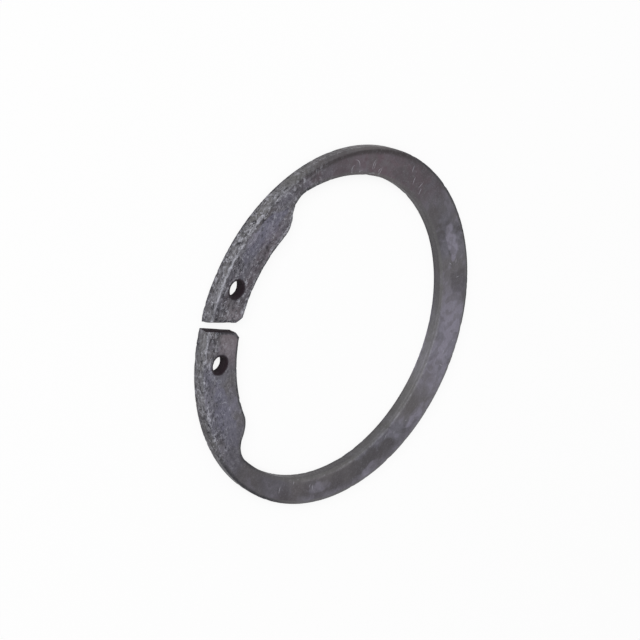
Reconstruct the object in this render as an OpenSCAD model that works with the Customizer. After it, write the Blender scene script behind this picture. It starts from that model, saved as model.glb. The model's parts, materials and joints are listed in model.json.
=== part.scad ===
// Retaining ring for a shaft, with its two lugs turned inwards, stamped from spring steel strip.
// The ring lies flat, its centre at the origin on the lower face and its gap towards -Y.
// Sizes are those of the free ring, before it is opened over the shaft.

/* [Ring] */
// Circle that the lugs and the back of the body touch, free, for a 60 mm shaft
free_inner_d = 55.8; // [50:0.1:62]
// Width of the strip at the back, opposite the gap, where it is widest
back_w = 8.7; // [7:0.1:10]
// How far the body's inner circle is set over towards the gap, which thins the strip on the way
bore_shift = 2.9; // [2:0.1:3.6]
// Thickness of the strip
thickness = 2; // [1.2:0.05:3]

/* [Lugs] */
// Angle from the gap to the middle of the notch behind each lug, about the body's inner circle
notch_angle = 59.3; // [50:0.1:70]
// Radius of the notch behind each lug
notch_r = 4.6; // [3:0.1:6]
// Radius of each lug's shoulder, which runs on into the notch
shoulder_r = 5.1; // [3:0.1:6.5]
// Width of the gap between the lugs
gap_w = 1.7; // [1:0.1:3]
// Bevel on a lug's inner corner, measured along its end face
bevel_on_end = 1.4; // [0.6:0.1:2]
// The same bevel, measured along the lug's inner edge
bevel_on_inner = 1; // [0.6:0.1:2]

/* [Plier holes] */
// Diameter of the hole that takes the tip of the pliers
hole_d = 3.1; // [2:0.1:3.6]
// From the lug's end face to the middle of its hole
hole_from_end = 6.4; // [4:0.1:9]
// From the lug's inner edge to the middle of its hole
hole_from_inner = 4.05; // [3.2:0.05:4.8]

/* [Edges] */
// Rounding that the punch draws down along the upper edges
roll_r = 0.42; // [0.1:0.01:0.5]
// Rounding that tumbling leaves along the lower edges
burr_r = 0.15; // [0.05:0.01:0.3]

/* [Hidden] */
$fn = 180;
steel = [0.13, 0.12, 0.13];

free_r = free_inner_d / 2;
outer_r = free_r + back_w;
bore_r = free_r + bore_shift;
end_y = gap_w / 2;

// How far a waste piece reaches past a rounded edge, and past either face
clear = 0.3;
past_face = 1;
// How far the waste of a bevel runs on past its corners, so that it meets its neighbours in a mitre
run_on = 2 * roll_r;
// How much two arcs overlap where they pass into each other, so that they cross and don't just touch
overlap = 0.01;

function polar(c, r, a) = c + r * [cos(a), sin(a)];
function unit(v) = v / norm(v);
function angle_of(v) = atan2(v.y, v.x);

// The ring is drawn with the gap along +X, as one half above the X axis and its mirror image.
// A lug's edge is a chain of arcs that touch: lug circle, shoulder, notch, inner circle of the body.
centre = [0, 0];
bore_c = [bore_shift, 0];
notch_c = polar(bore_c, bore_r - notch_r, notch_angle);

// The shoulder's centre is the corner of a triangle over the line from the ring's centre to the notch's
to_notch = norm(notch_c);
to_shoulder = free_r + shoulder_r;
between = notch_r + shoulder_r;
foot = (to_shoulder ^ 2 - between ^ 2 + to_notch ^ 2) / (2 * to_notch);
height = sqrt(to_shoulder ^ 2 - foot ^ 2);
shoulder_c = foot * unit(notch_c) + height * [unit(notch_c).y, -unit(notch_c).x];

// Corners of a lug's bevel: on the lug circle, and on the end face
inner_tip = [sqrt(free_r ^ 2 - (end_y + bevel_on_inner) ^ 2), end_y + bevel_on_inner];
face_tip = [inner_tip.x + bevel_on_end, end_y];

hole_y = end_y + hole_from_end;
hole_c = [sqrt((free_r + hole_from_inner) ^ 2 - hole_y ^ 2), hole_y];

// Waste outside a rounded corner whose wall is u = 0 and whose face is v = 0, with the metal at -u and -v.
// The arc leaves the wall and the face at a slight angle, as on a pressed edge, and runs on a little past both.
module corner_waste(r) {
    c = 1.18 * r;
    difference() {
        translate([-c, -c]) square(c + clear);
        translate([-c, -c]) circle(r = norm([c - r, c]));
    }
}

// Waste at both edges of a wall, over the strip's thickness
module wall_waste() {
    translate([0, thickness]) corner_waste(roll_r);
    mirror([0, 1]) corner_waste(burr_r);
}

// Metal disc with rounded edges
module disc(r) {
    rotate_extrude() difference() {
        square([r, thickness]);
        translate([r, 0]) wall_waste();
    }
}

// Waste that leaves a round opening with rounded edges
module opening(r) {
    rotate_extrude() {
        translate([0, -past_face]) square([r, thickness + 2 * past_face]);
        translate([r, 0]) mirror([1, 0]) wall_waste();
    }
}

// Waste beside a straight wall from p to q, as deep as reach on the wall's left, which leaves its edges rounded
module straight_waste(p, q, reach) {
    translate(p) rotate(angle_of(q - p)) rotate([90, 0, 90]) linear_extrude(norm(q - p)) {
        translate([0, -past_face]) square([reach, thickness + 2 * past_face]);
        wall_waste();
    }
}

// Upright block of waste over a flat outline
module block(points) {
    translate([0, 0, -past_face]) linear_extrude(thickness + 2 * past_face) polygon(points);
}

// Child and its mirror image on the other side of the gap
module both_halves() {
    children();
    mirror([0, 1, 0]) children();
}

// Space inside the body, from the middle of one notch round the back to the other
module body_space() {
    far = 2 * outer_r;
    side = polar(bore_c, far, notch_angle);
    intersection() {
        translate(bore_c) opening(bore_r);
        block([bore_c, side, [-far, far], [-far, -far], [side.x, -side.y]]);
    }
}

// Space behind one lug: the notch, and what lies between it and the shoulder
module lug_space() {
    translate(notch_c) opening(notch_r + overlap);
    difference() {
        block([centre, shoulder_c, notch_c]);
        translate(shoulder_c) disc(shoulder_r + overlap);
    }
}

// Gap between the end faces, with their edges rounded
module gap_space() {
    rotate([90, 0, 90]) linear_extrude(2 * outer_r) {
        translate([-end_y, -past_face]) square([gap_w, thickness + 2 * past_face]);
        for (s = [0, 1]) mirror([s, 0]) translate([-end_y, 0]) wall_waste();
    }
}

// Bevel on the inner corner of one lug's end, kept to its own side of the gap
module bevel() {
    along = unit(inner_tip - face_tip);
    depth = bevel_on_end * bevel_on_inner / norm([bevel_on_end, bevel_on_inner]) + clear;
    intersection() {
        straight_waste(face_tip - run_on * along, inner_tip + run_on * along, depth);
        block([centre, [outer_r, 0], [outer_r, outer_r], [0, outer_r]]);
    }
}

module retaining_ring() {
    color(steel)
    rotate(-90)
    difference() {
        disc(outer_r);
        opening(free_r);
        body_space();
        gap_space();
        both_halves() {
            lug_space();
            bevel();
            translate(hole_c) opening(hole_d / 2);
        }
    }
}

retaining_ring();
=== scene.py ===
# %% [markdown]
# # A retaining ring in dark phosphated spring steel
#
# The object is one stamped piece: a ring with a gap, two lugs that stand inwards, and a hole in each
# lug for the pliers. It is sprung open over a shaft and snaps into a groove.
#
# The lesson goes from the outside in. First come the camera, the floor and the lamps, so that every
# later step can be looked at. Then the ring's outline is drawn from arcs, given its punched edge and
# filled with small triangles, the wear is pressed into the mesh, and last the finish is wired up.

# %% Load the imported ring
import json
import math
import random

import bpy
import numpy as np
from mathutils import Matrix, Vector, geometry, kdtree, noise

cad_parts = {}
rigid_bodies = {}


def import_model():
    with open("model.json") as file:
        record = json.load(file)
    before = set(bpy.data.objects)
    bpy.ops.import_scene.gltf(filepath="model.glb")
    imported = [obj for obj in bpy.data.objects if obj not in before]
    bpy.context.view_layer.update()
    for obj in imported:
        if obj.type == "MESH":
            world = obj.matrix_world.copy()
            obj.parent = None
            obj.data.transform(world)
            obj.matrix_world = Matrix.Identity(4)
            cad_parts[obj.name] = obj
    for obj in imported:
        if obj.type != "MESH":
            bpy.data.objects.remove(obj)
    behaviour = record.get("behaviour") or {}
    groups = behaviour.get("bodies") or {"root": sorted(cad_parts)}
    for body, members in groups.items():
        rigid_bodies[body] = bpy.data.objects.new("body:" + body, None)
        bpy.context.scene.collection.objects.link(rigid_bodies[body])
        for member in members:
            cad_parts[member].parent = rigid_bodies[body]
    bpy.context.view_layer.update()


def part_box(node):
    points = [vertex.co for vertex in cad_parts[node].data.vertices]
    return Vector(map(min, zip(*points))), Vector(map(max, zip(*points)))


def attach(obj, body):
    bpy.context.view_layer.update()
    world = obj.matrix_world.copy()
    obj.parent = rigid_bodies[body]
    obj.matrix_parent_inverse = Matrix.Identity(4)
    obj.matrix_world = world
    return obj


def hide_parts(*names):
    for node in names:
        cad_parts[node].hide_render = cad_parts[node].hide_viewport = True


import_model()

MM = 0.001
low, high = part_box("retaining_ring")
outer_r = (high[0] - low[0]) / 2 / MM
thickness = (high[2] - low[2]) / MM
print(f"ring: outer radius {outer_r:.2f} mm, strip {thickness:.2f} mm thick")

# %% [markdown]
# ## The camera
#
# A photograph's view of a flat ring gives the camera away: how much the circle is squeezed gives the
# tilt, the longest way across gives the turn, and the far side is smaller than the near side by an
# amount that gives the distance. The ring lies flat here, so the camera looks down on it and is
# rolled until the ring stands in the frame as it did before the photographer.

# %% Place the camera
ring_centre = Vector((0.0, 0.0, 0.001))
camera_distance = 0.34071
camera_round = math.radians(-104.716)
camera_rise = math.radians(40.445)
look_round = math.radians(75.263)
look_down = math.radians(41.151)
camera_roll = math.radians(112.931)
focal_length = 97.63


def direction(turn, rise):
    """Unit vector at an angle round Z, counted from +X, and at an angle above the floor."""
    flat = math.cos(rise)
    return Vector((flat * math.cos(turn), flat * math.sin(turn), math.sin(rise)))


ahead = direction(look_round, -look_down)
level_right = ahead.cross(Vector((0, 0, 1))).normalized()
right = Matrix.Rotation(-camera_roll, 3, ahead) @ level_right
up = right.cross(ahead)

camera = bpy.data.objects.new("camera", bpy.data.cameras.new("camera"))
camera.data.lens = focal_length
camera.data.sensor_width = 36.0
camera.data.clip_start = 0.01
axes = Matrix((right, up, -ahead)).transposed().to_4x4()
stand = ring_centre + camera_distance * direction(camera_round, camera_rise)
camera.matrix_world = Matrix.Translation(stand) @ axes
bpy.context.collection.objects.link(camera)
bpy.context.scene.camera = camera
print("camera stands", [round(v, 3) for v in stand], "and its top points to", [round(v, 2) for v in up])

# %% [markdown]
# ## Floor, air and lamps
#
# The ring was photographed on plain white under wide soft lamps. A white floor and white air round it
# do the same here. Both are made wholly white only for the eye of the camera and for reflections:
# the floor still takes the ring's shadow, and the lamps stay at a level at which a colour renders
# about as it is written. Two wide lamps at unequal strengths keep the strip's edges readable.

# %% Give the floor a white that keeps a shadow
floor_size = 3.0
floor_white = (0.97, 0.97, 0.97)
shadow_kept = 0.15


def sight_ray(nodes, links):
    """Socket that is 1 for rays of sight: from the camera, off something glossy or through glass."""
    rays = nodes.new("ShaderNodeLightPath")
    seen = rays.outputs["Is Camera Ray"]
    for name in ("Is Glossy Ray", "Is Transmission Ray"):
        either = nodes.new("ShaderNodeMath")
        either.operation = "MAXIMUM"
        links.new(seen, either.inputs[0])
        links.new(rays.outputs[name], either.inputs[1])
        seen = either.outputs[0]
    return seen


def white_floor():
    """Pale matt paper, lifted towards white for the camera and for reflections only."""
    paint = bpy.data.materials.new("white_paper")
    paint.use_nodes = True
    nodes, links = paint.node_tree.nodes, paint.node_tree.links
    paper = nodes["Principled BSDF"]
    paper.inputs["Base Color"].default_value = (*floor_white, 1)
    paper.inputs["Roughness"].default_value = 0.9
    glow = nodes.new("ShaderNodeEmission")
    glow.inputs["Color"].default_value = (1, 1, 1, 1)
    lifted = nodes.new("ShaderNodeMath")
    lifted.operation = "MULTIPLY"
    links.new(sight_ray(nodes, links), lifted.inputs[0])
    lifted.inputs[1].default_value = 1 - shadow_kept
    mixed = nodes.new("ShaderNodeMixShader")
    links.new(lifted.outputs[0], mixed.inputs[0])
    links.new(paper.outputs[0], mixed.inputs[1])
    links.new(glow.outputs[0], mixed.inputs[2])
    links.new(mixed.outputs[0], nodes["Material Output"].inputs["Surface"])
    return paint


bpy.ops.mesh.primitive_plane_add(size=floor_size)
floor = bpy.context.active_object
floor.name = "floor"
floor.data.materials.append(white_floor())
print("floor laid at height", floor.location.z)

# %% Fill the air and hang the lamps
air_light = 0.35
key_power = 34.0
top_power = 8.0
lamp_distance = 2.0

world = bpy.data.worlds.new("white_air")
bpy.context.scene.world = world
world.use_nodes = True
air, wires = world.node_tree.nodes, world.node_tree.links
brightness = air.new("ShaderNodeMapRange")
brightness.inputs["To Min"].default_value = air_light
brightness.inputs["To Max"].default_value = 1.0
wires.new(sight_ray(air, wires), brightness.inputs["Value"])
air["Background"].inputs["Color"].default_value = (1, 1, 1, 1)
wires.new(brightness.outputs[0], air["Background"].inputs["Strength"])


def softbox(name, turn, rise, size, power):
    """Square lamp in a direction from the ring, given in degrees, and turned to face it."""
    lamp = bpy.data.objects.new(name, bpy.data.lights.new(name, "AREA"))
    lamp.data.size = size
    lamp.data.energy = power
    lamp.location = ring_centre + lamp_distance * direction(math.radians(turn), math.radians(rise))
    lamp.rotation_euler = (ring_centre - lamp.location).to_track_quat("-Z", "Y").to_euler()
    bpy.context.collection.objects.link(lamp)


softbox("key_lamp", turn=-114, rise=32, size=1.2, power=key_power)
softbox("top_lamp", turn=60, rise=80, size=1.8, power=top_power)
bpy.context.scene.view_settings.view_transform = "Standard"

# %% [markdown]
# ## The outline
#
# A stamped part is its outline. The ring's is a chain of arcs: one full circle outside; inside, the
# circle that the lugs share, then a rounded shoulder that passes into a rounded notch, and the
# body's own inner circle, whose centre is set towards the gap so that the strip thins on its way.
# All of it can be worked out from a few sizes, as the press tool's maker would. One half is drawn
# with the gap along X, mirrored, and then turned so that the gap points to -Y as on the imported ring.

# %% Name the sizes, in millimetres
free_r = 27.9
bore_shift = 2.9
notch_angle = 59.3
notch_r = 4.6
shoulder_r = 5.1
end_y = 0.85
bevel_on_end = 1.4
bevel_on_inner = 1.0
hole_r = 1.55
hole_from_end = 6.4
hole_from_inner = 4.05
edge_drop = 0.15
edge_reach = 0.20
roll_drop = 0.10
roll_reach = 0.95
hole_roll_reach = 0.48
burr_r = 0.15
corner_ease = 0.16
ease_points = 4
step = 0.24
hole_step = 0.7 * step
bore_r = free_r + bore_shift
print(f"inner circle of the body: {bore_r:.1f} mm round a centre {bore_shift} mm towards the gap")


# %% Make strokes for an outline
def polar(middle, radius, degrees):
    """Points at angles round a middle, as rows of x and y."""
    turn = np.radians(degrees)
    return np.array(middle) + radius * np.stack([np.cos(turn), np.sin(turn)], axis=-1)


def bearing(middle, point):
    """Angle in degrees at which a point is seen from a middle."""
    return math.degrees(math.atan2(point[1] - middle[1], point[0] - middle[0]))


def arc(middle, radius, start, end):
    """Points one step apart along an arc. Its last point is left to the next stroke."""
    count = math.ceil(abs(math.radians(end - start)) * radius / step)
    return polar(middle, radius, np.linspace(start, end, count, endpoint=False))


def straight(start, end):
    """Points one step apart along a line, without the last one."""
    count = math.ceil(math.dist(start, end) / step)
    share = np.linspace(0, 1, count, endpoint=False)[:, None]
    return (1 - share) * start + share * end


def towards(start, end, far):
    """Point at a distance from start on the way to end."""
    return start + far * (end - start) / np.linalg.norm(end - start)


def eased_corner(before, corner, after):
    """Small curve that takes the sharpness off a corner, as tumbling does."""
    share = np.linspace(0, 1, ease_points, endpoint=False)[:, None]
    first, last = towards(corner, before, corner_ease), towards(corner, after, corner_ease)
    return (1 - share) ** 2 * first + 2 * share * (1 - share) * corner + share ** 2 * last


print("an eighth of a circle of 10 mm radius takes", len(arc([0, 0], 10, 0, 45)), "points")

# %% Find the centres of the arcs
centre = np.zeros(2)
bore_c = np.array([bore_shift, 0.0])
notch_c = polar(bore_c, bore_r - notch_r, notch_angle)
to_notch = np.linalg.norm(notch_c)
to_shoulder = free_r + shoulder_r
between = notch_r + shoulder_r
foot = (to_shoulder ** 2 - between ** 2 + to_notch ** 2) / (2 * to_notch)
aside = math.sqrt(to_shoulder ** 2 - foot ** 2)
notch_way = notch_c / to_notch
shoulder_c = foot * notch_way + aside * np.array([notch_way[1], -notch_way[0]])
print("shoulder centre", shoulder_c.round(3), "notch centre", notch_c.round(3))

# %% Find the corners of a lug's end
outer_corner = np.array([math.sqrt(outer_r ** 2 - end_y ** 2), end_y])
inner_tip_y = end_y + bevel_on_inner
inner_tip = np.array([math.sqrt(free_r ** 2 - inner_tip_y ** 2), inner_tip_y])
face_tip = np.array([inner_tip[0] + bevel_on_end, end_y])
outer_start = bearing(centre, outer_corner)
inner_start = bearing(centre, inner_tip)
outer_ease = math.degrees(corner_ease / outer_r)
inner_ease = math.degrees(corner_ease / free_r)
on_outer = polar(centre, outer_r, outer_start + outer_ease)
on_inner = polar(centre, free_r, inner_start + inner_ease)
print("corners of an end:", outer_corner.round(2), face_tip.round(2), inner_tip.round(2))

# %% Draw one half
half = np.concatenate([
    arc(centre, outer_r, 180, outer_start + outer_ease),
    eased_corner(on_outer, outer_corner, face_tip),
    straight(towards(outer_corner, face_tip, corner_ease), towards(face_tip, outer_corner, corner_ease)),
    eased_corner(outer_corner, face_tip, inner_tip),
    straight(towards(face_tip, inner_tip, corner_ease), towards(inner_tip, face_tip, corner_ease)),
    eased_corner(face_tip, inner_tip, on_inner),
    arc(centre, free_r, inner_start + inner_ease, bearing(centre, shoulder_c)),
    arc(shoulder_c, shoulder_r, bearing(shoulder_c, centre) + 360, bearing(shoulder_c, notch_c)),
    arc(notch_c, notch_r, bearing(notch_c, shoulder_c), bearing(bore_c, notch_c)),
    arc(bore_c, bore_r, notch_angle, 180),
])
print("one half has", len(half), "points")

# %% Mirror it and add the holes
back = bore_c - [bore_r, 0]
mirrored = (half * [1, -1])[:0:-1]
drawn = np.concatenate([half, [back], mirrored])
ring_line = np.stack([drawn[:, 1], -drawn[:, 0]], axis=1)[::-1]

hole_y = end_y + hole_from_end
hole_x = math.sqrt((free_r + hole_from_inner) ** 2 - hole_y ** 2)
hole_steps = math.ceil(math.tau * hole_r / hole_step)
hole_turns = np.linspace(360, 0, hole_steps, endpoint=False)
hole_lines = [polar([way * hole_y, -hole_x], hole_r, hole_turns) for way in (1, -1)]
print(f"outline of {len(ring_line)} points, and of {hole_steps} at each hole")
print(f"holes {hole_y:.2f} mm to each side of the gap and {hole_x:.2f} mm from the centre towards it")

# %% [markdown]
# ## How far from an edge
#
# Nearly all that makes a stamped edge look stamped depends on one number: how far a point of the face
# lies from the nearest edge. The punch drags the metal down next to the edge, wear polishes the same
# strip, and nicks start there. A tree of fine dots along the outline answers that question fast,
# for any point, and it also knows nothing of corners, so mitres come out by themselves.

# %% Measure distances from the edges
dot_gap = 0.03


def dotted(line):
    """Fine dots along a closed line."""
    ahead_line = np.roll(line, -1, axis=0)
    count = math.ceil(step / dot_gap)
    shares = np.linspace(0, 1, count, endpoint=False)[:, None, None]
    return ((1 - shares) * line + shares * ahead_line).reshape(-1, 2)


edge_dots = np.concatenate([dotted(line) for line in (ring_line, *hole_lines)])
edge_tree = kdtree.KDTree(len(edge_dots))
for number, (x, y) in enumerate(edge_dots):
    edge_tree.insert((x, y, 0), number)
edge_tree.balance()


def from_edge(points):
    """Distance of each point from the nearest edge, in millimetres."""
    return np.array([edge_tree.find((x, y, 0))[2] for x, y in points])


def from_centre(points):
    """Distance of each point from the ring's axis."""
    return np.linalg.norm(points[:, :2], axis=1)


def roll_of(points):
    """How far the roll of the nearest edge reaches into the face: less round the holes."""
    nearest = np.array([edge_tree.find((x, y, 0))[1] for x, y in points])
    return np.where(nearest < len(dotted(ring_line)), roll_reach, hole_roll_reach)


print("edge tree of", len(edge_dots), "dots")

# %% [markdown]
# ## Scratches
#
# Rings rub on each other in the box, and each rub leaves a shallow groove with a bright bottom. A
# groove a fifth of a millimetre wide would need a very fine mesh if that mesh were even. So the
# scratches are drawn first, as lines, and each one gets its own rows of points in the upper face:
# one along its bottom and one along each side. The rest of the mesh can stay coarse.

# %% Draw one scratch
random.seed(7)
groove_half = 0.10
groove_step = 0.13


def scratch(turn, radius, length, lean, bend):
    """Middle line of a scratch: where it starts, how far it leans from the radius, how much it bends."""
    count = max(3, round(length / groove_step))
    heading = math.radians(turn + lean)
    spot = radius * np.array([math.sin(math.radians(turn)), -math.cos(math.radians(turn))])
    path = []
    for number in range(count):
        path.append(spot)
        spot = spot + length / count * np.array([math.sin(heading), -math.cos(heading)])
        heading += math.radians(bend) / count
    return np.array(path)


print("a scratch of 2 mm has", len(scratch(0, 30, 2, 0, 0)), "points")


# %% Strew scratches over the ring
def strewn(count, turns, radii, lengths, lean, bend):
    """That many scratches within ranges of angle, radius and length, leaning and bending at random."""
    return [scratch(random.uniform(*turns), random.uniform(*radii), random.uniform(*lengths),
                    random.uniform(-lean, lean), random.uniform(-bend, bend)) for number in range(count)]


scratches = strewn(16, (-92, -64), (29.8, 33.4), (0.8, 2.4), 80, 300)
scratches += strewn(5, (-118, -96), (30.4, 34.0), (0.8, 1.8), 20, 40)
scratches += strewn(9, (76, 94), (30.5, 33.5), (0.8, 2.0), 10, 20)
scratches += strewn(10, (-52, -4), (29.0, 34.0), (0.7, 2.2), 90, 80)
scratches += strewn(6, (8, 50), (30.0, 34.5), (0.6, 1.8), 90, 60)
scratches += strewn(9, (110, 235), (30.6, 35.0), (0.5, 1.4), 90, 40)
print(len(scratches), "scratches drawn")

# %% Measure distances from the scratches
blunt = 0.15
tapers = np.concatenate([np.sin(np.linspace(blunt, math.pi - blunt, len(path))) for path in scratches])
scratch_tree = kdtree.KDTree(len(tapers))
for number, spot in enumerate(np.concatenate(scratches)):
    scratch_tree.insert((*spot, 0), number)
scratch_tree.balance()


def from_scratch(points):
    """Distance of each point from the nearest scratch, and that scratch's depth there, from 0 to 1."""
    found = [scratch_tree.find((x, y, 0)) for x, y in points]
    return np.array([near[2] for near in found]), tapers[[near[1] for near in found]]


print("scratch tree of", len(tapers), "dots")

# %% [markdown]
# ## The faces, filled with triangles
#
# The two faces could be single flat polygons, but then nothing could be pressed into them, and the
# drawn-down edge would have no mesh to bend. So each face is a sheet of small triangles. Its points
# come in rows that follow the edge, packed closely where the edge rolls over, and then in an even
# field of jittered points. Constrained Delaunay triangulation joins them and keeps the outline.

# %% Ask where a point lies
lug_span = 38


def outward(line):
    """Unit vector at each point of a closed line, away from the metal on its left."""
    along = np.roll(line, -1, axis=0) - np.roll(line, 1, axis=0)
    along /= np.linalg.norm(along, axis=1)[:, None]
    return np.stack([along[:, 1], -along[:, 0]], axis=1)


def in_hole(points):
    """Which points lie in one of the two plier holes."""
    off = np.abs(points) - [hole_y, 0]
    return np.hypot(off[:, 0], points[:, 1] + hole_x) < hole_r


def on_metal(points):
    """Which points lie on the strip: between its circles and outside the notches."""
    reach = from_centre(points)
    from_bore = np.linalg.norm(points + [0, bore_shift], axis=1)
    lug_side = np.abs(np.degrees(np.arctan2(points[:, 0], -points[:, 1]))) < lug_span
    return (reach < outer_r) & (reach > free_r) & ((from_bore > bore_r) | lug_side)


print("the middle of a plier hole is in a hole:", in_hole(np.array([[hole_y, -hole_x]]))[0])

# %% Sow the points
scatter = np.random.default_rng(7)
row_slack = 0.012
shake = 0.18


def row_inside(line, depth):
    """Points of a line moved into the metal, without those that come too near another edge."""
    moved = line - depth * outward(line)
    return moved[from_edge(moved) > depth - row_slack]


def field(gap, margin):
    """Points in an even, slightly shaken pattern all over the face, but clear of the edges."""
    across = np.arange(-outer_r, outer_r, gap)
    down = np.arange(-outer_r, outer_r, gap * math.sqrt(3) / 2)
    x, y = np.meshgrid(across, down)
    x = x + (np.arange(len(down)) % 2)[:, None] * gap / 2
    spots = np.stack([x.ravel(), y.ravel()], axis=1) + scatter.uniform(-shake, shake, (x.size, 2)) * gap
    reach = from_centre(spots)
    spots = spots[(reach < outer_r - margin) & (reach > free_r)]
    return spots[(from_edge(spots) > margin) & ~in_hole(spots)]


def groove_rows():
    """Points along the bottom and both sides of every scratch, as far as they lie on the flat."""
    rows = []
    for path in scratches:
        along = np.gradient(path, axis=0)
        along /= np.linalg.norm(along, axis=1)[:, None]
        sideways = groove_half * np.stack([along[:, 1], -along[:, 0]], axis=1)
        rows += [path, path + sideways, path - sideways]
    spots = np.concatenate(rows)
    return spots[(from_edge(spots) > roll_reach) & ~in_hole(spots) & on_metal(spots)]


groove_points = groove_rows()
print(len(groove_points), "points along the bottoms and sides of the scratches")

# %% [markdown]
# ## Points that nearly meet
#
# Points from two rows can nearly meet, most of all at the corners. Triangulation would join them by
# slivers, which fold over as soon as the skin is pressed. So a point that lies within a hair of an
# earlier one is left out, while the outline keeps all of its own, since the wall hangs from them.

# %% Keep the points apart
least_gap = 0.022


def well_apart(spots, fixed):
    """Points without those that nearly meet an earlier one. The first ones, on the outline, stay."""
    tree = kdtree.KDTree(len(spots))
    for number, (x, y) in enumerate(spots):
        tree.insert((x, y, 0), number)
    tree.balance()
    kept = np.ones(len(spots), bool)
    for number, (x, y) in enumerate(spots):
        if kept[number]:
            for near in tree.find_range((x, y, 0), least_gap):
                if near[1] > max(number, fixed - 1):
                    kept[near[1]] = False
    return spots[kept]


print("two points that nearly meet leave", len(well_apart(np.array([[0, 0], [0.01, 0]]), 1)))

# %% Fill a face with triangles
clear_of_rows = 0.6
clear_of_groove = 0.35
weld = 1e-5


def face_sheet(ring_depths, hole_depths, gap, extra):
    """Points and triangles of one face: outline, rows inside it, extra points, and a field between."""
    lines = [ring_line, *hole_lines]
    rows = [row_inside(ring_line, depth) for depth in ring_depths]
    rows += [row_inside(line, depth) for depth in hole_depths for line in hole_lines]
    between = field(gap, ring_depths[-1] + clear_of_rows * gap)
    if len(extra):
        between = between[from_scratch(between)[0] > groove_half + clear_of_groove * gap]
    on_outline = sum(len(line) for line in lines)
    spots = well_apart(np.concatenate(lines + rows + [extra, between]), on_outline)
    rims = []
    first = 0
    for line in lines:
        count = len(line)
        rims += [(first + i, first + (i + 1) % count) for i in range(count)]
        first += count
    inside_rims = 1
    found = geometry.delaunay_2d_cdt([Vector(p) for p in spots], rims, [], inside_rims, weld)
    points = np.array([tuple(p) for p in found[0]])
    triangles = np.array(found[2])
    triangles = triangles[~in_hole(points[triangles].mean(axis=1))]
    place = {origin[0]: number for number, origin in enumerate(found[3])}
    return points, triangles, [place[i] for i in range(first)]


def face_area(points, triangles):
    """Area of a flat sheet of triangles, in square millimetres."""
    a, b, c = (points[triangles[:, corner]] for corner in range(3))
    return np.abs((b - a)[:, 0] * (c - a)[:, 1] - (b - a)[:, 1] * (c - a)[:, 0]).sum() / 2


square = np.array([[0, 0], [2, 0], [2, 2], [0, 2]])
print("a square of 2 mm has", face_area(square, np.array([[0, 1, 2], [0, 2, 3]])), "square mm")


# %% Make both faces
def edge_rows(reach, turns):
    """Depths at which rows of points follow a rounded edge, closest where it bends most."""
    return [reach * (1 - math.cos(math.radians(turn))) for turn in turns]


top_gap = 0.225
under_gap = 0.5
slope_rows = [0.35, 0.52, 0.72, 0.95, 1.2]
hole_slope_rows = [0.34, 0.48, 0.66]
top_edge = edge_rows(edge_reach, [30, 50, 70, 90])
burr_edge = edge_rows(burr_r, [35, 65, 90])
under_rows = burr_edge + [0.35, 0.65]
nothing = np.empty((0, 2))
top_points, top_faces, top_rim = face_sheet(
    top_edge + slope_rows, top_edge + hole_slope_rows, top_gap, groove_points)
under_points, under_faces, under_rim = face_sheet(under_rows, under_rows, under_gap, nothing)
for label, points, triangles in (("upper", top_points, top_faces), ("lower", under_points, under_faces)):
    print(f"{label} face: {len(triangles)} triangles, {face_area(points, triangles):.1f} square mm")

# %% [markdown]
# ## One skin
#
# The upper face, the wall and the lower face become one closed mesh. The wall shares its first row
# with the rim of the upper face and its last row with the rim of the lower one, so there is no seam.
# A punched wall isn't plain either: near the upper face it is sheared smooth, and below that the
# strip has broken away, which leaves it rougher and a hair further in.

# %% Roll the edges over
wall_rows = 9
break_level = 0.95
break_soft = 0.2
break_in = 0.05


def rounded(share, drop):
    """How far the edge has dropped at a share of the way from the rim to the flat of the face."""
    near = np.clip(1 - share, 0, 1)
    return drop * (1 - np.sqrt(1 - near ** 2))


def upper_height(depth, reach):
    """Height of the upper face: a slow slope that the punch draws down, and a small round at its end."""
    slope = roll_drop * np.clip(1 - depth / reach, 0, 1) ** 2
    return thickness - rounded(depth / edge_reach, edge_drop) - slope


def lower_height(depth):
    """Height of the lower face, which tumbling has rounded a little."""
    return rounded(depth / burr_r, burr_r)


print(f"rims {upper_height(0, roll_reach):.2f} and {lower_height(0):.2f} mm up")

# %% Give the faces their heights
top_depth = from_edge(top_points)
under_depth = from_edge(under_points)
top_depth[top_rim] = 0
under_depth[under_rim] = 0
top_roll = roll_of(top_points)
top_skin = np.column_stack([top_points, upper_height(top_depth, top_roll)])
under_skin = np.column_stack([under_points, lower_height(under_depth)])
print(f"upper face from {top_skin[:, 2].min():.2f} to {top_skin[:, 2].max():.2f} mm")

# %% Stand the wall between them
loops = [ring_line, *hole_lines]
rim_spots = np.concatenate(loops)
wall_tops = np.full(len(rim_spots), thickness - edge_drop - roll_drop)
share_down = np.linspace(0, 1, wall_rows + 1)[1:-1]
wall_heights = [wall_tops + share * (burr_r - wall_tops) for share in share_down]
wall_skin = np.concatenate([np.column_stack([rim_spots, row_height]) for row_height in wall_heights])
print("wall of", len(wall_heights), "rows with", len(rim_spots), "points each")

# %% Join faces and wall into one skin
skin = np.concatenate([top_skin, wall_skin, under_skin])
depth_in = np.concatenate([top_depth, np.zeros(len(wall_skin)), under_depth])
rolled = np.concatenate([1 - top_depth / top_roll, np.ones(len(wall_skin)), 1 - under_depth / burr_r])
wall_first = len(top_skin)
under_first = wall_first + len(wall_skin)
one_row = np.arange(len(rim_spots))
rings = [np.array(top_rim)]
rings += [wall_first + number * len(rim_spots) + one_row for number in range(wall_rows - 1)]
rings += [under_first + np.array(under_rim)]

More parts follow.
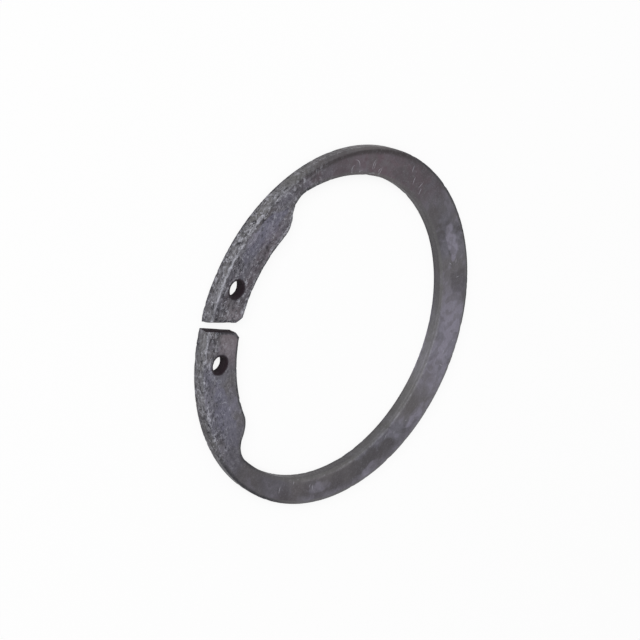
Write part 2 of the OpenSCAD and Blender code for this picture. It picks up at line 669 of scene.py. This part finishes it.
loop_sizes = [len(loop) for loop in loops]
after = np.concatenate([np.roll(np.arange(size), -1) for size in loop_sizes])
after += np.repeat(np.cumsum([0] + loop_sizes[:-1]), loop_sizes)
faces = [tuple(f) for f in top_faces]
faces += [tuple(f[::-1]) for f in under_first + under_faces]
for upper_row, lower_row in zip(rings, rings[1:]):
    for number, follows in enumerate(after):
        faces.append((upper_row[number], lower_row[number], lower_row[follows], upper_row[follows]))

used = np.unique(np.concatenate([top_faces, under_first + under_faces, *rings], axis=None))
print("skin:", len(used), "points,", len(faces), "faces")

# %% Make the mesh
new_number = np.full(len(skin), -1)
new_number[used] = np.arange(len(used))
skin = skin[used]
depth_in = depth_in[used]
rolled = np.clip(rolled[used], 0, 1)
mesh = bpy.data.meshes.new("ring_skin")
mesh.from_pydata((skin * MM).tolist(), [], [tuple(int(new_number[v]) for v in face) for face in faces])
mesh.validate()
mesh.polygons.foreach_set("use_smooth", np.ones(len(mesh.polygons), bool))
mesh.update()
normals = np.empty(len(skin) * 3)
mesh.vertex_normals.foreach_get("vector", normals)
normals = normals.reshape(-1, 3)
print("steepest and flattest normals:", normals[:, 2].min().round(3), normals[:, 2].max().round(3))

# %% [markdown]
# ## Wear, pressed into the mesh
#
# New rings are tumbled, coated, poured into boxes and scraped against each other. The faces are never
# quite flat, scale and pits roughen them, most of all near the lugs, and the edges carry nicks.
# Anything wide enough to catch the light on its own is pressed into the mesh here, so that it is
# there from every side. Only what is finer than a few tenths of a millimetre is left to the finish.
#
# A push is one number for each point: how far it goes in along its normal. Smooth noise gives the
# play of the faces, the same noise cut off below a level gives pits, and a nick is a soft dent
# round a spot near an edge. The pushes are added up and the points are moved once, at the end.

# %% Know where on the ring a point is
def round_gap(points):
    """Angle of each point from the middle of the gap, in degrees, positive towards +X."""
    return np.degrees(np.arctan2(points[:, 0], -points[:, 1]))


def fade(value, start, end):
    """Smooth step from 0 at start to 1 at end."""
    share = np.clip((value - start) / (end - start), 0, 1)
    return share * share * (3 - 2 * share)


def lumps(points, size, turn_seed):
    """Smooth noise from about -1 to 1, in lumps of that size in millimetres."""
    shift = Vector((turn_seed * 17.3, turn_seed * 7.1, turn_seed * 3.7))
    return np.array([noise.noise(Vector(p) / size + shift) for p in points])


def around(middle, half_width, soft):
    """1 near an angle round the ring, with soft ends."""
    off = np.abs((turn - middle + 180) % 360 - 180)
    return 1 - fade(off, half_width - soft, half_width + soft)


turn = round_gap(skin)
scaly = 1 - np.where(turn > 0, fade(turn, 34, 60), fade(-turn, 54, 70))
on_wall = 1 - np.abs(normals[:, 2])
low_wall = on_wall * fade(-skin[:, 2], -break_level - break_soft, -break_level + break_soft)
print(f"scaly share of the skin: {scaly.mean():.2f}")

# %% Press the lumps and pits in
flat_play = 0.012
break_play = 0.02
crust_in = 0.014
crust_play = 0.016
pits_from = 0.28

push = flat_play * (1.2 + lumps(skin, 9.0, 1) + 0.6 * lumps(skin, 3.0, 2))
push += low_wall * (break_in + break_play * lumps(skin, 0.5, 3))
grain = lumps(skin * [1, 1, 0.6], 0.75, 4)
crust = lumps(skin, 0.45, 5)
push += (0.25 + 0.75 * scaly) * (crust_in + crust_play * crust)
pits = np.clip(grain - pits_from, 0, 1)
push += (0.10 + 0.22 * scaly) * pits
print(f"deepest push {push.max():.3f} mm, mean {push.mean():.3f} mm")

# %% Knock nicks into the edges
nick_count = 90
nick_levels = [thickness - 0.12, thickness - 0.12, thickness - 0.3, 0.1]
nick_radii = (0.45, 1.1)
nick_depths = (0.02, 0.06)
usual_radius = 0.6

nick_depth = np.zeros(len(skin))
for number in range(nick_count):
    spot = rim_spots[random.randrange(len(rim_spots))]
    level = random.choice(nick_levels)
    radius = random.uniform(*nick_radii)
    depth = random.uniform(*nick_depths) * radius / usual_radius
    far = np.linalg.norm((skin - [*spot, level]) * [1, 1, 0.8], axis=1) / radius
    nick_depth = np.maximum(nick_depth, depth * np.clip(1 - far ** 2, 0, 1) ** 2)
push += nick_depth
print(f"{nick_count} nicks touch {np.count_nonzero(nick_depth > 0.01)} points")

# %% Cut the grooves and spare the edges
groove_depth = 0.03
edge_strip = 0.35
deepest_at_edge = 0.12

off_scratch, groove_taper = from_scratch(skin[:, :2])
grooved = np.clip(1 - off_scratch / groove_half, 0, 1) * groove_taper
on_flat = (skin[:, 2] > thickness - 0.1) & (depth_in > 0.3)
grooved *= on_flat
push += groove_depth * grooved
push = np.where(depth_in < edge_strip, np.minimum(push, deepest_at_edge), push)
print(f"grooves touch {np.count_nonzero(grooved)} points; deepest push {push.max():.3f} mm")

# %% [markdown]
# ## Two lugs that aren't twins
#
# The drawing of the ring is its own mirror image, but a real one never is. On this one the right lug
# is a little wider inside and its bevel is less cut away, both end faces lean towards the gap at
# their lower outer corners, and those corners are worn off. Each of these is a soft shift of the
# points nearby: a distance or an angle gives a weight from 0 to 1, and the weight times a length in
# millimetres gives the shift. The shifts are gentle enough for the mesh never to fold.

# %% Let the two lugs differ a little
lug_surplus = 0.22
lean_right = 0.22
lean_left = 0.42
lean_fades_over = 2.2
bevel_fill = 0.32
bevel_round = 0.8
corner_worn_right = 0.10
corner_worn_left = 0.20
corner_round = 0.62

side = np.sign(skin[:, 0])
out = from_centre(skin)
surplus = lug_surplus * around(21, 21, 4) * (1 - fade(out, 28.2, 30.4))
near_end = (1 - fade(np.abs(skin[:, 0]), end_y, end_y + lean_fades_over)) * (skin[:, 1] < 0)
lean = np.where(side > 0, lean_right, lean_left) * (1 - skin[:, 2] / thickness)
lean = lean * near_end * fade(out, 29, 36)
off_bevel = np.linalg.norm(skin[:, :2] - [end_y, -face_tip[0]], axis=1)
off_corner = np.hypot(np.abs(skin[:, 0]) - end_y, skin[:, 1] + outer_r)
worn_off = np.where(side > 0, corner_worn_right, corner_worn_left)
worn_off = worn_off * np.exp(-(off_corner / corner_round) ** 2)
skin[:, :2] *= (1 - surplus / out)[:, None]
skin[:, 0] -= side * lean
skin[:, 1] += bevel_fill * np.exp(-(off_bevel / bevel_round) ** 2) + worn_off
print(f"right lug {surplus.max():.2f} mm wider; end faces lean by {lean.max():.2f} mm at most")

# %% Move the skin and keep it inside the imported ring
hair = 0.001
skin = skin - push[:, None] * normals
skin[:, 2] = np.clip(skin[:, 2], 0, thickness)
skin[:, :2] *= np.minimum(1, (outer_r - hair) / from_centre(skin))[:, None]
mesh.vertices.foreach_set("co", (skin * MM).ravel())
mesh.update()
ring = bpy.data.objects.new("phosphated_ring", mesh)
bpy.context.collection.objects.link(ring)

print("ring made, height", skin[:, 2].min().round(4), "to", skin[:, 2].max().round(4))

# %% [markdown]
# ## Sums on wires
#
# A finish like this one is mostly arithmetic on masks: where the coat is scaly, and how far that is
# from an edge. In the node editor each plus or minus is one node and two wires. Here a small class
# stands for a node's output and takes the usual signs, so a mask reads like the sum that it is. One
# method adds every other kind of node: its settings go in first, then the values of its sockets.

# %% Wrap sockets and nodes
class Wire:
    """A node's output. The signs + - * on wires and numbers add Math nodes."""

    def __init__(self, bench, socket):
        self.bench = bench
        self.socket = socket

    def maths(self, operation, first, second):
        """Math node on two values."""
        return self.bench.add("Math", {"operation": operation}, {0: first, 1: second})

    def __add__(self, other):
        return self.maths("ADD", self, other)

    def __radd__(self, other):
        return self.maths("ADD", other, self)

    def __sub__(self, other):
        return self.maths("SUBTRACT", self, other)

    def __rsub__(self, other):
        return self.maths("SUBTRACT", other, self)

    def __mul__(self, other):
        return self.maths("MULTIPLY", self, other)

    def __rmul__(self, other):
        return self.maths("MULTIPLY", other, self)

    def between(self, start, end):
        """Smooth step from 0 at start to 1 at end."""
        settings = {"interpolation_type": "SMOOTHSTEP"}
        return self.bench.add("MapRange", settings, {"Value": self, "From Min": start, "From Max": end})


class Bench:
    """The nodes of one material."""

    def __init__(self, name):
        self.material = bpy.data.materials.new(name)
        self.material.use_nodes = True
        self.tree = self.material.node_tree
        self.surface = self.tree.nodes["Principled BSDF"]

    def plug(self, node, sockets):
        """Set a node's sockets to values, or link wires to them."""
        for name, value in sockets.items():
            if isinstance(value, Wire):
                self.tree.links.new(value.socket, node.inputs[name])
            else:
                node.inputs[name].default_value = value

    def add(self, kind, settings=None, sockets=None, output=0):
        """Add a node, set it up, fill its sockets and return one of its outputs."""
        node = self.tree.nodes.new("ShaderNode" + kind)
        for name, value in (settings or {}).items():
            setattr(node, name, value)
        self.plug(node, sockets or {})
        return Wire(self, node.outputs[output])

    def painted(self, name):
        """A value that was painted on the points of the mesh."""
        return self.add("Attribute", {"attribute_name": name}, output="Fac")

    def tint(self, share, under, over):
        """One colour laid over another, as much as the share says."""
        return self.add("Mix", {"data_type": "RGBA"}, {0: share, 6: under, 7: over}, output=2)

    def cloud(self, where, size, detail=2.0, warp=0.0, rough=0.5):
        """Soft noise around 0.5, in lumps of about that size in millimetres."""
        sockets = {"Vector": where, "Scale": 1 / size, "Detail": detail}
        sockets.update({"Distortion": warp, "Roughness": rough})
        return self.add("TexNoise", {}, sockets)


steel = Bench("phosphated_spring_steel")
print("bench ready:", steel.material.name)

# %% [markdown]
# ## The coat's colours
#
# The strip is phosphated: the steel grows a thin grey-black crystal coat that is dull and never one
# colour. Over several millimetres it drifts between slate blue and a brownish grey, where the bath
# and the oil had their way.
#
# Where each tint lies is worked out here, point by point, as masks from 0 to 1. That is the same
# work as painting the mesh by hand, but with an angle round the ring and a distance from an edge in
# place of a brush. Each mask is stored on the mesh under a name, and the finish reads it by that name.

# %% Measure the worn ring once more
middle_r = 34
outer_wall_strip = 0.6
notch_turn = 70

reach = from_centre(skin)
outer_depth = outer_r - reach
bore_depth = np.linalg.norm(skin[:, :2] + [0, bore_shift], axis=1) - bore_r
ragged = lumps(skin, 5.0, 6)
ragged_fine = lumps(skin, 1.8, 7)
upper_side = fade(skin[:, 2], 1.0, 1.5)
inner_side = reach < middle_r
on_outside = on_wall * (reach > outer_r - outer_wall_strip)
on_inner_edge = fade(on_wall, 0.3, 0.7) * inner_side
gap_side = skin[:, 1] < 0
past_notch = np.abs(turn) > notch_turn
print(f"points on the outer wall: {np.count_nonzero(on_outside > 0.5)}")


# %% Make stencils
def band(value, start, full, thinning, end):
    """1 where a value lies between two others, with a soft border on each side."""
    return fade(value, start, full) * (1 - fade(value, thinning, end))


def patch(middle, radius, half_length, half_width):
    """1 in an oval patch on the strip, with a ragged soft border."""
    along = np.radians((turn - middle + 180) % 360 - 180) * radius / half_length
    return 1 - fade(along ** 2 + ((reach - radius) / half_width) ** 2 + 0.8 * ragged_fine, 0.55, 1.15)


def most(*masks):
    """The largest of several masks, point by point."""
    return np.maximum.reduce(masks)


print("a patch 4 mm long at the back covers", np.count_nonzero(patch(180, 32, 2, 1) > 0.5), "points")


# %% Make a brush
def paint(name, values):
    """Store one number for each point of the mesh, for the finish to read."""
    mesh.attributes.new(name, "FLOAT", "POINT").data.foreach_set("value", values)
    print(f"painted {name}: {values.mean():.3f} on average, {values.max():.2f} at most")


# %% Paint where the coat has drifted
lug_middle = most(patch(-33, 32.6, 7.5, 2.2), 0.9 * patch(34, 32.2, 8.5, 2.0))

paint("bluish", most(lug_middle, 0.6 * (np.abs(turn) < 56) * fade(ragged, -0.3, 0.5)))
paint("browned", most(
    around(-90, 32, 9) * fade(ragged, -0.9, 0.0),
    0.7 * around(-24, 16, 8) * (1 - fade(reach + 0.6 * ragged, 30.2, 32.5)),
    0.6 * patch(-12, 33.0, 4.0, 1.6),
    0.12 * around(84, 22, 12)))
paint("rubbed", around(4, 10, 4) * (1 - fade(reach + 0.4 * ragged_fine, 31.5, 33.0)))
paint("paled", most(
    0.95 * around(178, 20, 9) * fade(ragged, -0.6, 0.2),
    1.1 * patch(-144, 32.7, 4.2, 1.5),
    1.2 * patch(-177, 32.8, 2.6, 2.2),
    1.1 * patch(172, 32.5, 3.2, 2.2),
    0.8 * patch(147, 34.0, 3.2, 1.4),
    0.6 * patch(121, 34.6, 2.6, 1.1),
    1.0 * patch(-30, 34.1, 2.3, 1.1),
    0.5 * patch(-36, 32.0, 2.0, 1.0),
    0.5 * patch(97, 33.4, 3.0, 1.2),
    0.6 * around(128, 34, 12) * (1 - fade(outer_depth, 0.3, 2.6))))

# %% [markdown]
# ## The ridge
#
# On the left lug the drawn-down edge meets the flat in a ridge. A bright line is painted along it,
# partly a rubbed coat and partly a painted highlight, and inside it lies a line of painted shade.
# The ridge runs closer to the outer edge the further it is from the gap, so its distance from the
# edge is a number that shrinks with the angle, and all that follows the ridge is measured from there.

# %% Follow the ridge
ridge_width = 1.2
ridge_starts_at = -115
ridge_full_at = -50

ridge = ridge_width * np.clip((turn - ridge_starts_at) / (ridge_full_at - ridge_starts_at), 0, 1)
past_ridge = outer_depth - ridge + 0.12 * ragged_fine
outer_slope = (1 - fade(past_ridge, -0.25, 0.1)) * around(-58, 60, 8)
beside_ridge = np.exp(-((past_ridge - 0.25) / 0.22) ** 2) * around(-34, 28, 8)
along_ridge = np.exp(-((past_ridge + 0.18) / 0.24) ** 2) * around(-20, 27, 9)

# painted highlight along the ridge, partly a rubbed coat
paint("ridge_highlight", along_ridge * fade(ragged + 1.2 * ragged_fine, -0.7, 0.1))
# painted shade: a dark band inside the drawn-down edge, a line beside the ridge and a strip of the outer
# wall
paint("shade_band", most(
    band(past_ridge, -0.2, 0.1, 0.45, 1.1) * around(-82, 24, 8),
    0.65 * beside_ridge,
    0.4 * on_outside * around(38, 8, 6)))
paint("rolled", np.maximum(rolled, 0.45 * outer_slope) * (skin[:, 2] > 0.5))

# %% [markdown]
# ## Dark and torn places
#
# The coat stays dark where nothing rubs it on some stretches of the body. Along the inner wall, on
# parts of the outer wall, beside the edges and near the ends the darkening is painted shade. The
# walls of holes and ends are darker still: the punch tore them and torn metal holds oil, and painted
# shade in the holes and the narrow gap lies on top. Each place is a stencil times a strength, and the
# strongest one wins, so that places that overlap don't add up to black.

# %% Darken stretches of the coat, and paint shade on the walls and beside the edges
inner_wall = on_wall * (reach < 33.9) * (skin[:, 1] > -16)
from_end = np.abs(skin[:, 0]) + 0.3 * ragged_fine - end_y
end_strip = (1 - fade(from_end, 0.2, 1.3)) * gap_side * (1 - on_wall)
furrow = band(bore_depth, 1.2, 1.5, 1.9, 2.4) * fade(ragged_fine, -0.3, 0.1)

# darker coat in some stretches and patches; painted shade on the inner wall, on parts of the outer wall,
# beside the edges and near the ends
paint("dark_coat_and_shade", most(
    0.8 * around(60, 18, 12),
    0.5 * around(-14, 14, 5) * fade(past_ridge, 0.0, 0.4),
    0.75 * around(-7, 9, 5) * fade(past_ridge, 0.0, 0.4),
    0.6 * around(-68, 8, 5) * (1 - around(-33, 20, 5)),
    0.9 * around(-110, 14, 7) * (1 - fade(outer_depth, 0.6, 3.4)),
    0.55 * around(-120, 18, 10),
    0.5 * around(-135, 14, 8) * (1 - fade(outer_depth, 0.2, 1.0)),
    0.5 * on_outside * around(34, 18, 8),
    0.9 * on_outside * around(39, 8, 5),
    0.55 * on_outside * around(-8, 14, 6),
    0.8 * inner_wall * (1 - around(154, 36, 12)),
    0.35 * on_inner_edge * around(124, 22, 8),
    0.6 * on_inner_edge * most(around(98, 10, 5), around(-128, 12, 6)),
    0.5 * furrow * around(112, 26, 8),
    0.5 * end_strip,
    0.6 * patch(-27, 30.4, 2.6, 1.5),
    0.6 * patch(-103, 32.4, 4.0, 1.6),
    0.8 * patch(-161, 33.4, 3.6, 2.4),
    0.6 * patch(129, 33.2, 2.6, 1.2),
    0.5 * patch(112, 32.4, 4.4, 1.1)))

# %% Blacken the punched walls
hole_shade_start = 0.25
hole_shade_end = 0.65
from_hole = np.hypot(np.abs(skin[:, 0]) - hole_y, skin[:, 1] + hole_x) - hole_r
at_end = (np.abs(skin[:, 0]) < end_y + 0.4) & gap_side
end_face = fade(np.abs(normals[:, 0]), 0.45, 0.8) * at_end

# painted shade in the holes and in the narrow gap between the ends, over the dark torn metal
paint("punched_and_shaded", most(1 - fade(from_hole, hole_shade_start, hole_shade_end), end_face))

# %% [markdown]
# ## Rough and scraped places
#
# Scale covers the left lug and the outer half of the right one, and thins out towards the body.
# Painted shade darkens the hidden rims and the bottom edge. Along the edges and on the slope of the
# left lug the coat is partly scraped bright and partly given a painted highlight. The masks only say
# where.
# What scale or a scrape looks like is drawn later, by the finish.

# %% Roughen the lugs
outer_half = fade(reach + 0.5 * ragged_fine, 30.5, 34.0)
scaly *= np.where(turn > 0, 0.3 + 0.6 * outer_half, 0.75 + 0.25 * outer_half) * (1 - 0.3 * lug_middle)
scaly *= 1 - 0.7 * outer_slope * around(-62, 14, 5)
scaly = np.maximum(scaly, 0.6 * on_outside * around(-62, 20, 10))
hidden_rim = most(
    ~inner_side * most(around(62, 18, 8), around(-142, 36, 10)),
    inner_side * around(0, 62, 6))
upper_rim = (1 - fade(depth_in + 0.12 * ragged_fine, 0.30, 0.72)) * fade(skin[:, 2], 1.4, 1.8)
lower_rim = 1 - fade(skin[:, 2] + 0.1 * ragged_fine, 0.12, 0.45)

paint("scaly", scaly)
paint("crossed", around(-56, 13, 6) * fade(past_ridge, 0.0, 0.3))
# painted shade: a thin dark line along the far rims, whose walls are hidden, and along the bottom edge
# where the ring meets the floor
paint("rim_shade", most(
    upper_rim * hidden_rim,
    lower_rim * np.where(inner_side, 1 - 0.8 * around(154, 34, 12), 1)))

# %% Paint scrapes and highlights along the edges
inner_strip = fade(depth_in, 0.1, 0.35) * (1 - fade(depth_in + 0.3 * ragged_fine, 0.6, 1.2))
inner_strip = inner_strip * (reach < 31.5)
slope_share = (0.15 + 0.35 * fade(outer_depth, 0.2, 1.1)) * (1 - fade(past_ridge, -0.1, 0.14))
crest = fade(outer_depth, 0.1, 0.6) * (1 - fade(past_ridge, 0.0, 0.2))
# partly scraped coat and partly painted highlight: along the lugs' inner edges, the left lug's slope and
# crest, the outer edges and the body's inner edge
scraped_and_highlit = most(
    slope_share * upper_side * around(-24, 28, 8),
    crest * upper_side * around(-28, 11, 5),
    0.75 * inner_strip * upper_side * around(-28, 24, 4),
    0.15 * on_outside * around(20, 10, 5),
    0.35 * on_outside * around(-23, 8, 4),
    0.45 * band(outer_depth, 0.3, 0.9, 1.2, 1.6) * upper_side * around(20, 24, 8),
    0.35 * band(bore_depth, 0.55, 0.8, 1.0, 1.3) * around(146, 46, 14) * past_notch)
# painted highlight: a soft light line just inside the body's inner edge
soft_line = most(
    band(bore_depth, 0.3, 0.9, 0.95, 1.5) * around(160, 26, 16) * past_notch,
    0.5 * band(bore_depth, 0.4, 0.8, 0.95, 1.3) * around(105, 22, 8))

paint("scraped_and_highlit", scraped_and_highlit * np.where(on_wall > 0.5, 0.6, 1.0))
paint("softly_lit", soft_line * (0.3 + 0.7 * fade(ragged_fine, -0.25, 0.3)))
paint("grooved", grooved)

# %% [markdown]
# ## Tints, laid from large to small
#
# A real coat is many thin layers, so the colour is made in the same way. It starts as two greys
# mixed by a broad noise. Each later tint is laid over what is there, by as much as its mask says,
# and a finer noise breaks its border up, so that no patch looks like a sticker.

# %% Lay the tints
slate = (0.108, 0.104, 0.126, 1)
lilac = (0.192, 0.180, 0.226, 1)
lug_blue = (0.123, 0.120, 0.168, 1)
soot_and_shade = (0.050, 0.045, 0.051, 1)
umber = (0.098, 0.090, 0.094, 1)
rust_brown = (0.092, 0.067, 0.080, 1)
band_shade_black = (0.030, 0.024, 0.026, 1)
rubbed_grey = (0.155, 0.130, 0.146, 1)
wall_grey = (0.106, 0.105, 0.102, 1)
edge_highlight_grey = (0.215, 0.208, 0.212, 1)
punch_and_shade_black = (0.016, 0.009, 0.013, 1)
pit_and_shade_black = (0.014, 0.013, 0.018, 1)
spark = (0.42, 0.42, 0.47, 1)

here = steel.add("TexCoord", output="Object")
where = steel.add("VectorMath", {"operation": "SCALE"}, {0: here, "Scale": 1 / MM})
scale = steel.painted("scaly")

broad = steel.cloud(where, 6.5, detail=3.0, warp=0.7)
middling = steel.cloud(where, 2.0, detail=3.0, warp=0.6)
warmth = steel.cloud(where, 9.0, detail=1.0)
colour = steel.tint(broad.between(0.38, 0.58), soot_and_shade, slate)
colour = steel.tint(warmth.between(0.42, 0.60) * 0.7, colour, umber)
colour = steel.tint((broad * 0.6 + middling * 0.4).between(0.52, 0.62) * 0.55, colour, lilac)
colour = steel.tint(steel.painted("bluish") * 0.75, colour, lug_blue)
rust = steel.painted("browned") * (0.4 + 0.6 * middling.between(0.35, 0.6))
colour = steel.tint(rust, colour, rust_brown)
bloom = steel.painted("paled") * (0.45 + 0.45 * middling.between(0.42, 0.55))
colour = steel.tint(bloom, colour, lilac)
colour = steel.tint(steel.painted("rolled").between(0.08, 0.4) * 0.6, colour, wall_grey)
# darker coat and painted shade
colour = steel.tint(steel.painted("dark_coat_and_shade") * 0.75, colour, soot_and_shade)
# painted shade in the band
colour = steel.tint(steel.painted("shade_band") * 0.95, colour, band_shade_black)
colour = steel.tint(steel.painted("rubbed") * 0.75, colour, rubbed_grey)
# the painted highlight along the body's inner edge
colour = steel.tint(steel.painted("softly_lit") * 0.62, colour, edge_highlight_grey)
print("tints laid, with", len(steel.tree.nodes), "nodes so far")

# %% [markdown]
# ## Scale, sparks and pits
#
# Near the lugs the coat is rough. Its crystals are scraped into short curly strokes that run along
# the strip, with bright specks and dark pits between them. The strokes come from a noise that is
# stretched along the ring: wherever it passes through its middle value it leaves a thin winding line.

# %% Stretch the coordinates along the ring
x_mm = steel.add("SeparateXYZ", sockets={0: where}, output="X")
y_mm = steel.add("SeparateXYZ", sockets={0: where}, output="Y")
z_mm = steel.add("SeparateXYZ", sockets={0: where}, output="Z")
strip_radius = 33
stroke_stretch = 0.55
round_here = steel.add("Math", {"operation": "ARCTAN2"}, {0: x_mm, 1: 0 - y_mm})
out_here = steel.add("VectorMath", {"operation": "LENGTH"}, {0: where}, output="Value")
laid_along = steel.add("CombineXYZ", sockets={
    "X": round_here * (strip_radius * stroke_stretch), "Y": out_here, "Z": z_mm})
laid_across = steel.add("CombineXYZ", sockets={
    "X": round_here * strip_radius, "Y": out_here * stroke_stretch, "Z": z_mm})
drawn_out = steel.add("VectorMath", {"operation": "MULTIPLY"}, {0: laid_along, 1: (0.2, 1, 1)})
print(f"along the ring one unit is {1 / stroke_stretch:.1f} mm")

# %% Draw strokes, specks and pits
swirl = steel.cloud(laid_along, 1.0, detail=4.0, warp=1.5, rough=0.65)
curl = steel.cloud(laid_along, 0.58, detail=2.0, warp=1.0)
broken = steel.cloud(where, 0.9, detail=2.0)
fine = steel.cloud(where, 0.36, detail=2.0, rough=0.6)
patchy = steel.cloud(where, 2.2, detail=2.0).between(0.40, 0.58)
ripples = steel.cloud(laid_across, 0.8, detail=3.0, warp=1.2, rough=0.6)
streaks = steel.cloud(drawn_out, 0.7, detail=2.0)

off_middle = steel.add("Math", {"operation": "ABSOLUTE"}, {0: curl - 0.5})
strokes = off_middle.between(0.085, 0.025) * broken.between(0.44, 0.56)
specks = fine.between(0.58, 0.70)
pitted = steel.cloud(laid_along, 0.5, detail=2.0).between(0.45, 0.33)
print("strokes, specks and pits drawn, with", len(steel.tree.nodes), "nodes so far")

# %% Add up what is light and what is dark
crossed = steel.painted("crossed")
crystals = strokes * 0.45 + specks * 0.45
scrape_and_highlight = 0.05 + strokes * 0.45 + specks * 0.55 + swirl.between(0.50, 0.62) * 0.35

light = scale * crystals * (0.25 + 0.75 * patchy) + scale * swirl.between(0.58, 0.72) * 0.18
light = light * (1 - 0.6 * crossed) + crossed * scale * ripples.between(0.54, 0.66) * 0.42
light = light + scale * streaks.between(0.52, 0.70) * 0.12
light = light + (1 - scale) * (specks * 0.08 + strokes * 0.03)
# the painted highlight along the ridge
light = light + steel.painted("ridge_highlight") * (0.25 + 0.5 * swirl.between(0.42, 0.58))
# scrapes and painted highlights along the edges
light = light + steel.painted("scraped_and_highlit") * scrape_and_highlight

dark = pitted * (0.10 + 0.8 * scale) + swirl.between(0.48, 0.34) * (0.1 + 0.65 * scale)
dark = dark * (1 - 0.5 * crossed) + crossed * scale * ripples.between(0.46, 0.34) * 0.6
# the painted shade along the rims is added to the dark here
dark = dark + scale * streaks.between(0.46, 0.30) * 0.20 + steel.painted("rim_shade") * 0.85

# pits, and the painted shade along the rims
colour = steel.tint(dark, colour, pit_and_shade_black)
# light flecks of the scale, with the painted highlights of the ridge and the edges
colour = steel.tint(light, colour, spark)
colour = steel.tint(steel.painted("grooved") * (0.45 + 0.50 * middling), colour, spark)
punched_and_shaded_wall = steel.painted("punched_and_shaded")
# dark torn metal with painted shade in the holes and the gap
colour = steel.tint(punched_and_shaded_wall * 0.95, colour, punch_and_shade_black)
print("light and dark laid over the tints")

# %% [markdown]
# ## Gloss and relief
#
# The coat is crystals over steel: mostly dull, with a little of the metal's own sheen. Scraped spots
# are smoother than the rest, and the torn walls of holes and ends are the roughest, since at a flat
# angle even a dull surface would mirror the white air. The finest relief is a bump only. It is the
# same light and dark that the colour shows, a seventh of a millimetre high.

# %% Join it to the surface
plain_roughness = 0.55
metal_share = 0.25
sheen = 0.3
relief_height = 0.00015
relief_strength = 0.5

relief = light * 0.6 - dark * 0.5 + fine * 0.25
bump = steel.add("Bump", {}, {"Strength": relief_strength, "Distance": relief_height, "Height": relief})
roughness = plain_roughness + 0.25 * (middling - 0.5) - 0.12 * light + 0.45 * punched_and_shaded_wall
steel.plug(steel.surface, {"Base Color": colour, "Roughness": roughness, "Normal": bump})
steel.plug(steel.surface, {"Metallic": metal_share, "Specular IOR Level": sheen})
mesh.materials.append(steel.material)
print("finish wired with", len(steel.tree.nodes), "nodes")

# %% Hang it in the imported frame
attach(ring, "root")
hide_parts("retaining_ring")
print("ring hung in the frame in place of the packed one")
